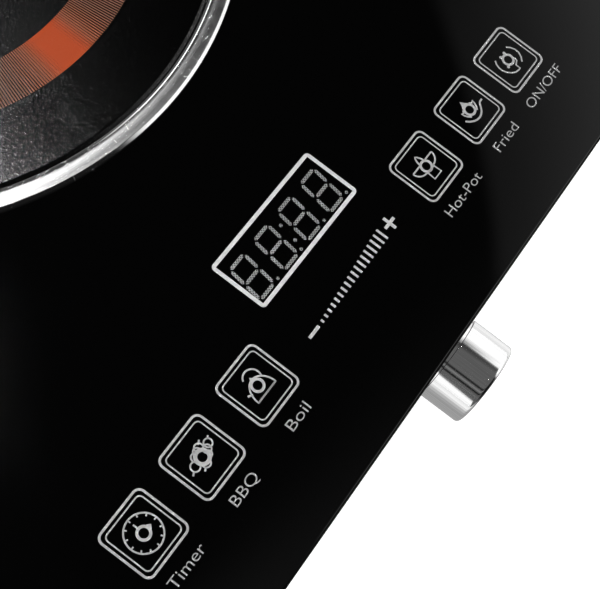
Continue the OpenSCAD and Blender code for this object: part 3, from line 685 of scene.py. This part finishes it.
top = glass_top / mm
ring_mm = (ring_high.x - ring_low.x) / 2 / mm
lip_mm = disc_mm + 0.5
seat = disc_low.z / mm - 0.5
profile = [
    (ring_mm, top), (ring_mm, top + 0.52), (ring_mm - 0.08, top + 0.66), (ring_mm - 0.78, top + 1.29),
    (ring_mm - 0.92, top + 1.41), (ring_mm - 1.1, top + 1.44), (ring_mm - 1.35, top + 1.42),
    (ring_mm - 2.3, top + 1.375), (ring_mm - 3.3, top + 1.31), (ring_mm - 4.3, top + 1.23),
    (ring_mm - 5.1, top + 1.15), (ring_mm - 5.3, top + 1.16), (ring_mm - 5.48, top + 1.27),
    (ring_mm - 5.6, top + 1.33), (ring_mm - 5.75, top + 1.34), (ring_mm - 5.9, top + 1.31),
    (lip_mm, top + 1.2), (lip_mm, seat + 0.25), (lip_mm - 0.25, seat), (lip_mm - 5, seat),
    (lip_mm - 5, seat - 0.8), (lip_mm + 0.6, seat - 0.8), (lip_mm + 0.8, seat - 0.6), (lip_mm + 0.8, top)]
ring = finish_mesh(lathe(profile + profile[:1], 256, zone_x, zone_y), "ring_spun", 14)

spun_steel, tree, shader = new_material(
    "spun steel", Metallic=1.0, Anisotropic=0.7, Anisotropic_Rotation=0.25)
tree.links.new(add(tree, "Tangent", direction_type="RADIAL", axis="Z").outputs[0], shader.inputs["Tangent"])
spot = add(tree, "Mapping", {"Vector": add(tree, "TexCoord").outputs["Object"],
                             "Location": (-zone_x, -zone_y, 0)})
across = add(tree, "SeparateXYZ", {0: spot.outputs[0]}).outputs
radius = calc(tree, "SQRT", calc(tree, "MULTIPLY_ADD", across[0], across[0],
                                 calc(tree, "MULTIPLY", across[1], across[1])))
angle = calc(tree, "ARCTAN2", across[1], across[0])
turned = add(tree, "CombineXYZ", {
    0: calc(tree, "MULTIPLY", radius, 4500), 1: calc(tree, "MULTIPLY", angle, 6)})
lines = add(tree, "TexNoise", {"Vector": turned.outputs[0], "Scale": 1, "Detail": 3})
cloud = add(tree, "TexNoise", {"Vector": spot.outputs[0], "Scale": 220, "Detail": 4, "Roughness": 0.7})
hair = add(tree, "TexVoronoi", {"Vector": spot.outputs[0], "Scale": 90}, feature="DISTANCE_TO_EDGE")
scratch = ramp(tree, hair.outputs[0], 0.012, 0.0)
scratch = calc(tree, "MULTIPLY", scratch, ramp(tree, cloud.outputs[0], 0.5, 0.62))
tone = mix(tree, ramp(tree, lines.outputs[0], 0.3, 0.7), grey(0.70), grey(0.84))
tree.links.new(mix(tree, scratch, tone, grey(0.95)), shader.inputs["Base Color"])
rough = calc(tree, "MULTIPLY_ADD", cloud.outputs[0], 0.12, 0.06)
tree.links.new(calc(tree, "MULTIPLY_ADD", scratch, 0.25, rough), shader.inputs["Roughness"])
bump(tree, shader, lines.outputs[0], 0.25, 0.02 * mm)
paint(ring, spun_steel)
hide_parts("trim_ring")
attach(ring, "casing")


# ------------------------------------------------------------------ knob
# A brass cap turned, bored and satin-chromed: a straight barrel with a rounded front rim, a slightly
# narrower neck at the back, and a small pointer dimple in its dished face. It turns endlessly.

knob_low, knob_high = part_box("knob_shell")
knob_z = (knob_low.z + knob_high.z) / 2 / mm
knob_back = knob_high.y / mm
knob_front = knob_low.y / mm
knob_r = (knob_high.x - knob_low.x) / 2 / mm
length = knob_back - knob_front
rim_r = 1.3
neck_r = knob_r - 0.9
socket_r, socket_end = 12, 12
bore_r, bore_end = 5.7, 15.2
dimple_r, dimple_in, dimple_up = 3, 1.9, 8.3

rim = [(knob_r - rim_r * (1 - math.cos(a)), length - rim_r * (1 - math.sin(a)))
       for a in [math.radians(10 * i) for i in range(10)]]
profile = [(socket_r, 0), (knob_r - 1.7, 0), (knob_r - 1.5, 0.05), (knob_r - 0.95, 0.55),
           (neck_r, 0.75), (neck_r, 0.95), (neck_r, 3.5), (neck_r + 0.1, 3.6),
           (knob_r, 3.62), (knob_r, 4.1), (knob_r, length - 1.6)]
profile += rim
profile += [(knob_r - 1.7, length), (knob_r - 2.6, length - 0.08), (6, length - 0.32), (0, length - 0.38)]
profile += [(0, bore_end), (bore_r, bore_end), (bore_r, socket_end), (socket_r, socket_end), (socket_r, 0)]
knob = lathe(profile, 160)
knob.rotation_euler.x = math.radians(90)
knob.location = (0, knob_back * mm, knob_z * mm)
finish_mesh(knob, "knob_cap")
take()
bpy.ops.mesh.primitive_uv_sphere_add(
    segments=48, ring_count=24, radius=dimple_r * mm,
    location=(0, (knob_front - dimple_in) * mm, (knob_z + dimple_up) * mm))
cutter = bpy.context.object
apply_modifier(knob, "BOOLEAN", object=cutter, operation="DIFFERENCE")
bpy.data.objects.remove(cutter)
finish_mesh(knob, "knob_cap", 32)

satin_chrome, tree, shader = new_material("satin chrome", Metallic=1.0, Anisotropic=0.3)
spot = add(tree, "Mapping", {"Vector": add(tree, "TexCoord").outputs["Object"],
                             "Location": (0, -knob_back * mm, -knob_z * mm)})
across = add(tree, "SeparateXYZ", {0: spot.outputs[0]}).outputs
angle = calc(tree, "ARCTAN2", across[2], across[0])
turned = add(tree, "CombineXYZ", {
    0: calc(tree, "MULTIPLY", angle, 26), 1: calc(tree, "MULTIPLY", across[1], 22)})
streaks = add(tree, "TexNoise", {"Vector": turned.outputs[0], "Scale": 1, "Detail": 4, "Roughness": 0.65})
tree.links.new(mix(tree, ramp(tree, streaks.outputs[0], 0.35, 0.7), grey(0.68), grey(0.82)),
               shader.inputs["Base Color"])
tree.links.new(calc(tree, "MULTIPLY_ADD", streaks.outputs[0], 0.10, 0.03), shader.inputs["Roughness"])
bump(tree, shader, streaks.outputs[0], 0.3, 0.012 * mm)
paint(knob, satin_chrome)
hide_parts("knob_shell")
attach(knob, "knob")


# ------------------------------------------------------------------ housing
# The bottom case and the frame under the glass are injection-moulded in black flame-retardant ABS
# with a fine spark-eroded texture. Air slots pierce the floor, back and sides, and six screws close it.

def dress(material, *names):
    """Gives CAD parts a material in place of their plain colour."""
    for name in names:
        if not nodes[name].material_slots:
            nodes[name].data.materials.append(material)
        for slot in nodes[name].material_slots:
            slot.material = material


moulding, given, result = new_group(
    "moulded texture", [("Grain", "Float", 1800.0)], [("Height", "Float"), ("Shade", "Float")])
place_on = add(moulding, "TexCoord").outputs["Object"]
spark = add(moulding, "TexNoise", {"Vector": place_on, "Scale": given[0], "Detail": 3, "Roughness": 0.65})
flow = add(moulding, "TexNoise", {"Vector": place_on, "Scale": 22, "Detail": 3, "Distortion": 1.5})
moulding.links.new(spark.outputs[0], result.inputs["Height"])
fine = calc(moulding, "MULTIPLY", spark.outputs[0], 0.3)
shade = calc(moulding, "MULTIPLY_ADD", flow.outputs[0], 0.7, fine)
moulding.links.new(ramp(moulding, shade, 0.3, 0.7), result.inputs["Shade"])


def moulded(name, colour, roughness=0.5, texture=1800.0, depth=0.04):
    """Moulded plastic: a fine texture, faint flow marks and a slightly uneven gloss."""
    made, tree, shader = new_material(name, IOR=1.52)
    grain = add(tree, "Group", {"Grain": texture}, node_tree=moulding).outputs
    dark = tuple(c * 0.72 for c in colour) + (1,)
    pale = tuple(c * 1.25 for c in colour) + (1,)
    tree.links.new(mix(tree, grain["Shade"], dark, pale), shader.inputs["Base Color"])
    rough = calc(tree, "MULTIPLY_ADD", grain["Shade"], 0.16, roughness - 0.08)
    tree.links.new(rough, shader.inputs["Roughness"])
    bump(tree, shader, grain["Height"], 0.6, depth * mm)
    return made


case_abs = moulded("textured ABS", (0.020, 0.020, 0.022), 0.46, 1500.0, 0.06)
dress(case_abs, "bottom_case")
frame_abs = moulded("frame ABS", (0.022, 0.022, 0.024), 0.42, 2200.0, 0.04)
dress(frame_abs, "glass_frame")


# ------------------------------------------------------------------ seals and feet
# The disc and the panel sit on beads of black silicone. Four moulded rubber feet are screwed to the
# floor of the case, and a rubber gland lines the hole for the mains lead.

silicone = moulded("silicone bead", (0.012, 0.012, 0.013), 0.38, 900.0, 0.05)
dress(silicone, "panel_seal", "disc_seal")
rubber = moulded("foot rubber", (0.016, 0.016, 0.017), 0.72, 2600.0, 0.08)
dress(rubber, "foot_front_left", "foot_front_right", "foot_rear_left", "foot_rear_right", "cord_gland")


# ------------------------------------------------------------------ screws and turned metal
# Cross-headed screws in bright zinc close the case and hold the feet, boards and fan. The spindle,
# nut, bush and springs are plain turned or drawn metal.

drawn, given, result = new_group(
    "drawn metal", [("Lines", "Float", 900.0), ("Across", "Vector", (1, 1, 0.1))],
    [("Height", "Float"), ("Tone", "Float"), ("Tarnish", "Float")])
place_on = add(drawn, "TexCoord").outputs["Object"]
pulled = add(drawn, "VectorMath", {0: place_on, 1: given[1]}, operation="MULTIPLY").outputs[0]
fine = add(drawn, "TexNoise", {"Vector": pulled, "Scale": given[0], "Detail": 4, "Roughness": 0.6})
stain = add(drawn, "TexNoise", {"Vector": place_on, "Scale": 130, "Detail": 4, "Distortion": 1.0})
drawn.links.new(fine.outputs[0], result.inputs["Height"])
drawn.links.new(ramp(drawn, fine.outputs[0], 0.3, 0.7), result.inputs["Tone"])
drawn.links.new(ramp(drawn, stain.outputs[0], 0.5, 0.75), result.inputs["Tarnish"])


def metal(name, colour, roughness, lines=900.0, across=(1, 1, 0.1), tarnish=0.4):
    """Bare or plated metal with fine tool or draw lines and a little tarnish."""
    made, tree, shader = new_material(name, Metallic=1.0)
    look = add(tree, "Group", {"Lines": lines, "Across": across}, node_tree=drawn).outputs
    bright = tuple(min(1, c * 1.08) for c in colour) + (1,)
    dull = tuple(c * 0.78 for c in colour) + (1,)
    stained = tuple(c * 0.5 for c in colour) + (1,)
    tone = mix(tree, look["Tone"], dull, bright)
    spots = calc(tree, "MULTIPLY", look["Tarnish"], tarnish)
    tree.links.new(mix(tree, spots, tone, stained), shader.inputs["Base Color"])
    rough = calc(tree, "MULTIPLY_ADD", look["Tone"], 0.12, roughness - 0.06)
    tree.links.new(calc(tree, "MULTIPLY_ADD", spots, 0.3, rough), shader.inputs["Roughness"])
    bump(tree, shader, look["Height"], 0.3, 0.02 * mm)
    return made


zinc = metal("bright zinc", (0.62, 0.63, 0.66), 0.28, 1400.0, (1, 1, 1))
dress(zinc, "case_screws", "foot_screws", "fan_screws", "power_board_screws", "control_board_screws",
      "encoder_washer", "encoder_nut")
ground_steel = metal("ground steel", (0.60, 0.60, 0.61), 0.22, 1800.0, (1, 0.1, 1), 0.2)
dress(ground_steel, "encoder_shaft", "fan_shaft")
turned_brass = metal("turned brass", (0.72, 0.52, 0.22), 0.25, 1500.0, (0.2, 1, 0.2))
dress(turned_brass, "encoder_bushing", "fan_bearing")
spring_wire = metal("spring wire", (0.60, 0.57, 0.52), 0.30, 2200.0, (1, 1, 1))
dress(spring_wire, "touch_springs", "heater_springs")
plated_shell = metal("plated shell", (0.55, 0.56, 0.58), 0.32, 700.0, (1, 0.2, 0.2))
dress(plated_shell, "encoder_body")


# ------------------------------------------------------------------ controls
# A long board under the glass carries the touch springs, key lamps, slider pad and display, and a
# small one behind the knob carries the encoder. Both are glass laminate under green solder mask.

laminate, given, result = new_group(
    "board laminate", [("Pitch", "Float", 5.1)],
    [("Copper", "Float"), ("Weave", "Float"), ("Pads", "Float")])
place_on = add(laminate, "TexCoord").outputs["Object"]
cells = calc(laminate, "DIVIDE", 1000.0, given[0])
tracks = add(laminate, "TexBrick", {
    "Vector": place_on, "Color1": grey(0), "Color2": grey(0), "Mortar": grey(1), "Scale": cells,
    "Mortar Size": 0.06, "Mortar Smooth": 0.3, "Brick Width": 1.7, "Row Height": 0.5})
cut = add(laminate, "TexNoise", {"Vector": place_on, "Scale": 90, "Detail": 1})
copper = calc(laminate, "MULTIPLY", tracks.outputs[0], ramp(laminate, cut.outputs[0], 0.46, 0.52))
pads = add(laminate, "TexVoronoi", {"Vector": place_on, "Scale": calc(laminate, "MULTIPLY", cells, 1.1)})
weave = add(laminate, "TexNoise", {"Vector": place_on, "Scale": 1500, "Detail": 1})
laminate.links.new(copper, result.inputs["Copper"])
laminate.links.new(weave.outputs[0], result.inputs["Weave"])
laminate.links.new(ramp(laminate, pads.outputs[0], 0.13, 0.09), result.inputs["Pads"])

board, tree, shader = new_material("solder mask", Roughness=0.28, IOR=1.5)
look = add(tree, "Group", {"Pitch": 5.1}, node_tree=laminate).outputs
ground = mix(tree, look["Weave"], (0.008, 0.075, 0.030, 1), (0.014, 0.11, 0.045, 1))
routed = mix(tree, look["Copper"], ground, (0.030, 0.20, 0.075, 1))
tree.links.new(mix(tree, look["Pads"], routed, (0.62, 0.60, 0.56, 1)), shader.inputs["Base Color"])
tree.links.new(look["Pads"], shader.inputs["Metallic"])
raised = calc(tree, "ADD", look["Copper"], look["Pads"])
bump(tree, shader, raised, 0.5, 0.06 * mm)
dress(board, "control_board", "power_board", "encoder_board")

milky = moulded("milky resin", (0.78, 0.78, 0.74), 0.24, 500.0, 0.01)
dress(milky, "key_lamps")
foam = moulded("conductive foam", (0.035, 0.035, 0.036), 0.92, 1100.0, 0.25)
dress(foam, "slider_pad")
black_resin = moulded("black resin", (0.014, 0.014, 0.015), 0.36, 1900.0, 0.03)
dress(black_resin, "display_module", "triac", "buzzer")
nylon = moulded("grey nylon", (0.055, 0.055, 0.060), 0.5, 1300.0, 0.04)
dress(nylon, "knob_core")
ribbon_grey = moulded("flat cable", (0.36, 0.36, 0.38), 0.55, 800.0, 0.04)
dress(ribbon_grey, "ribbon_cable")


# ------------------------------------------------------------------ fan
# A flat seven-bladed fan in glass-filled plastic draws air in through the grille in the floor. Its
# hub turns on a steel spindle in a plain bearing, round a stator of enamelled copper.

fan_black = moulded("glass-filled plastic", (0.018, 0.018, 0.020), 0.40, 1700.0, 0.04)
dress(fan_black, "fan_frame", "fan_rotor")

winding, tree, shader = new_material("enamelled copper", Metallic=0.8, Coat_Weight=0.5, Coat_Roughness=0.15)
place_on = add(tree, "TexCoord").outputs["Object"]
turns = add(tree, "TexWave", {"Vector": place_on, "Scale": 620, "Distortion": 0.6, "Detail": 1},
            bands_direction="Z")
hue = mix(tree, turns.outputs[1], (0.24, 0.075, 0.028, 1), (0.62, 0.26, 0.11, 1))
tree.links.new(hue, shader.inputs["Base Color"])
tree.links.new(calc(tree, "MULTIPLY_ADD", turns.outputs[1], -0.15, 0.42), shader.inputs["Roughness"])
bump(tree, shader, turns.outputs[1], 0.7, 0.12 * mm)
dress(winding, "fan_stator", "filter_choke")


# ------------------------------------------------------------------ power board parts
# The mains board holds the triac on its extruded heat sink, the relay, the supply transformer, the
# filter parts, the fuse and the terminal block for the two heater leads.

extrusion = metal("extruded aluminium", (0.66, 0.67, 0.69), 0.34, 500.0, (1, 0.05, 1), 0.15)
dress(extrusion, "heat_sink")
dress(moulded("blue case", (0.020, 0.065, 0.26), 0.32, 1200.0, 0.02), "relay")
dress(moulded("yellow tape", (0.62, 0.44, 0.05), 0.35, 260.0, 0.06), "transformer")
dress(moulded("film capacitor case", (0.52, 0.37, 0.05), 0.34, 1500.0, 0.02), "filter_capacitor")
dress(moulded("shrink sleeve", (0.022, 0.030, 0.12), 0.22, 300.0, 0.03), "storage_capacitors")
dress(moulded("green nylon", (0.035, 0.20, 0.075), 0.42, 1400.0, 0.03), "terminal_block")
dress(moulded("fuse glass", (0.62, 0.62, 0.62), 0.10, 400.0, 0.01), "fuse")


# ------------------------------------------------------------------ radiant heater
# Under the disc a pressed steel pan holds a base and a wall of white insulation. Two coiled ribbons
# stand in it, with a rod-type cut-out across them, and springs press the whole up to the disc.

pan_steel = metal("aluminised sheet", (0.58, 0.58, 0.57), 0.36, 260.0, (1, 1, 1), 0.5)
dress(pan_steel, "heater_pan", "heat_baffle")
fibre = moulded("pressed silica", (0.74, 0.71, 0.64), 0.94, 650.0, 0.30)
dress(fibre, "insulation_base", "insulation_wall")
ribbon_alloy = metal("oxidised ribbon", (0.34, 0.22, 0.16), 0.46, 1200.0, (0.3, 0.3, 1), 0.7)
dress(ribbon_alloy, "outer_element", "inner_element")
steatite = moulded("fired steatite", (0.80, 0.77, 0.70), 0.34, 1200.0, 0.03)
dress(steatite, "cutout_rod", "cutout_head", "heater_terminals", "temperature_sensor")
red_silicone = moulded("silicone sleeve", (0.36, 0.022, 0.016), 0.46, 1600.0, 0.03)
dress(red_silicone, "heater_leads")


# ------------------------------------------------------------------ floor, light and camera
# A large pale table, a soft white room and a camera above the front left of the hob, looking down
# across its controls.

take()
bpy.ops.mesh.primitive_grid_add(x_subdivisions=8, y_subdivisions=8, size=12)
floor = bpy.context.object
floor.name = "floor"
pale_table, tree, shader = new_material("pale table", Roughness=0.6, Emission_Strength=0.55)
soft = add(tree, "TexNoise", {"Vector": add(tree, "TexCoord").outputs["Object"], "Scale": 3, "Detail": 3})
tone = mix(tree, soft.outputs[0], grey(0.88), grey(0.92))
tree.links.new(tone, shader.inputs["Base Color"])
tree.links.new(tone, shader.inputs["Emission Color"])

# Painted reflection of the table: glossy rays see it glow as painted light, pale to both sides, with
# painted shade in front of the knob and far out in front
across = add(tree, "SeparateXYZ", {0: add(tree, "TexCoord").outputs["Object"]}).outputs
left = ramp(tree, across[0], -0.05, -0.22, 0.0, 0.75)
side = calc(tree, "ADD", left, ramp(tree, across[0], 0.04, 0.09, 0.42, 1.1))
# painted shade in front of the knob, seen only in reflections
painted_knob_shade = calc(tree, "MULTIPLY", ramp(tree, across[0], 0.09, 0.05), ramp(tree, across[0], -0.10, -0.05))
painted_knob_shade = calc(tree, "MULTIPLY", painted_knob_shade, ramp(tree, across[1], -0.28, -0.31))
far = ramp(tree, across[1], -0.6, -0.45, 0.05, 1.0)
painted_reflection_level = calc(tree, "MULTIPLY", side, calc(tree, "MULTIPLY", far, calc(tree, "SUBTRACT", 1.0, painted_knob_shade)))
# the table glows with this painted light for glossy rays only
painted_reflection_glow = add(tree, "Emission", {"Color": grey(1.0), "Strength": painted_reflection_level}).outputs[0]
ray = add(tree, "LightPath").outputs
table_with_painted_reflection = add(tree, "MixShader", {0: ray["Is Glossy Ray"], 1: shader.outputs[0], 2: painted_reflection_glow}).outputs[0]
tree.links.new(table_with_painted_reflection, tree.nodes["Material Output"].inputs["Surface"])
paint(floor, pale_table)

room = bpy.data.worlds.new("studio")
bpy.context.scene.world = room
room.use_nodes = True
tree = room.node_tree
tree.nodes.clear()
way = add(tree, "SeparateXYZ", {0: add(tree, "TexCoord").outputs["Generated"]}).outputs
azimuth = calc(tree, "MULTIPLY", calc(tree, "ARCTAN2", way[0], way[1]), math.degrees(1))
height = calc(tree, "MULTIPLY", calc(tree, "ARCSINE", way[2]), math.degrees(1))


def card(az, half, az_soft, low, high, el_soft, strength, lean=0.0):
    """A soft-edged card in the room, its direction and its lowest and highest edge in degrees.

    Strength is what it adds to the room's level, less than nothing for a dark one. Its top may lean.
    """
    off = calc(tree, "WRAP", calc(tree, "SUBTRACT", azimuth, az), 180, -180)
    side = ramp(tree, calc(tree, "ABSOLUTE", off), half + az_soft, half - az_soft)
    foot = ramp(tree, height, low - el_soft, low + el_soft)
    leaning = calc(tree, "MULTIPLY_ADD", off, -lean, height)
    head = ramp(tree, leaning, high + el_soft, high - el_soft)
    body = calc(tree, "MULTIPLY", side, foot)
    return calc(tree, "MULTIPLY", body, calc(tree, "MULTIPLY", head, strength))


room_level = 0.135
darkest = 0.008
cards = [
    # darker than the room: one keeps the glass black, and one shades the near side of the steel
    (70, 35, 12, 40, 95, 8, -0.115), (190, 32, 8, -20, 48, 6, -0.125),
    # three fine bands in the barrel of the knob
    (262, 40, 8, 50, 55, 1.5, -0.12), (262, 40, 8, 44, 47, 1, 0.14), (262, 40, 8, 36, 41, 1.5, -0.12),
    # pale ones for the knob and for the right of the glass
    (92, 11, 5, -20, 57.3, 0.7, 0.13, 0.46), (92, 11, 5, -20, 46.7, 11, 1.15, 0.58),
    # pale ones for the trim ring
    (133, 30, 5, -20, 46, 13, 1.2), (126, 26, 1, 30, 58, 1.5, 0.9),
    (32.2, 16.5, 0.8, 50, 65, 1.5, 1.35), (48.8, 4, 1.5, 55, 60, 1.5, 0.5),
    # a small strong one that picks out the grain of the disc
    (31, 14.5, 1.5, 67, 76, 1.5, 105.0),
    # a low one for the side of the knob
    (264, 24, 6, -20, 17, 2.5, 1.25, 2.4)]
light = room_level
for values in cards:
    light = calc(tree, "ADD", light, card(*values))
light = calc(tree, "MAXIMUM", light, darkest)
ray = add(tree, "LightPath").outputs
shown = add(tree, "Background", {"Color": grey(1.0), "Strength": 1.0}).outputs[0]
spread = add(tree, "Background", {"Color": grey(1.0), "Strength": 1.15}).outputs[0]
gloss = add(tree, "Background", {"Color": grey(1.0), "Strength": light}).outputs[0]
lit = add(tree, "MixShader", {0: ray["Is Glossy Ray"], 1: spread, 2: gloss}).outputs[0]
seen = add(tree, "MixShader", {0: ray["Is Camera Ray"], 1: lit, 2: shown}).outputs[0]
add(tree, "OutputWorld", {"Surface": seen})
room.cycles.sampling_method = "NONE"
bpy.context.scene.view_settings.view_transform = "Standard"

eye = Vector((-0.1670, -0.1436, 0.4015))
aim = Vector((-0.0218, -0.1298, 0.0650))
upward = Vector((0.7237, 0.6022, 0.3371))
take()
bpy.ops.object.camera_add(location=eye)
camera = bpy.context.object
back = (eye - aim).normalized()
right = upward.cross(back).normalized()
turned = Matrix((right, back.cross(right), back)).transposed().to_4x4()
camera.matrix_world = Matrix.Translation(eye) @ turned
camera.data.lens = 77.3
camera.data.sensor_width = 36
bpy.context.scene.camera = camera
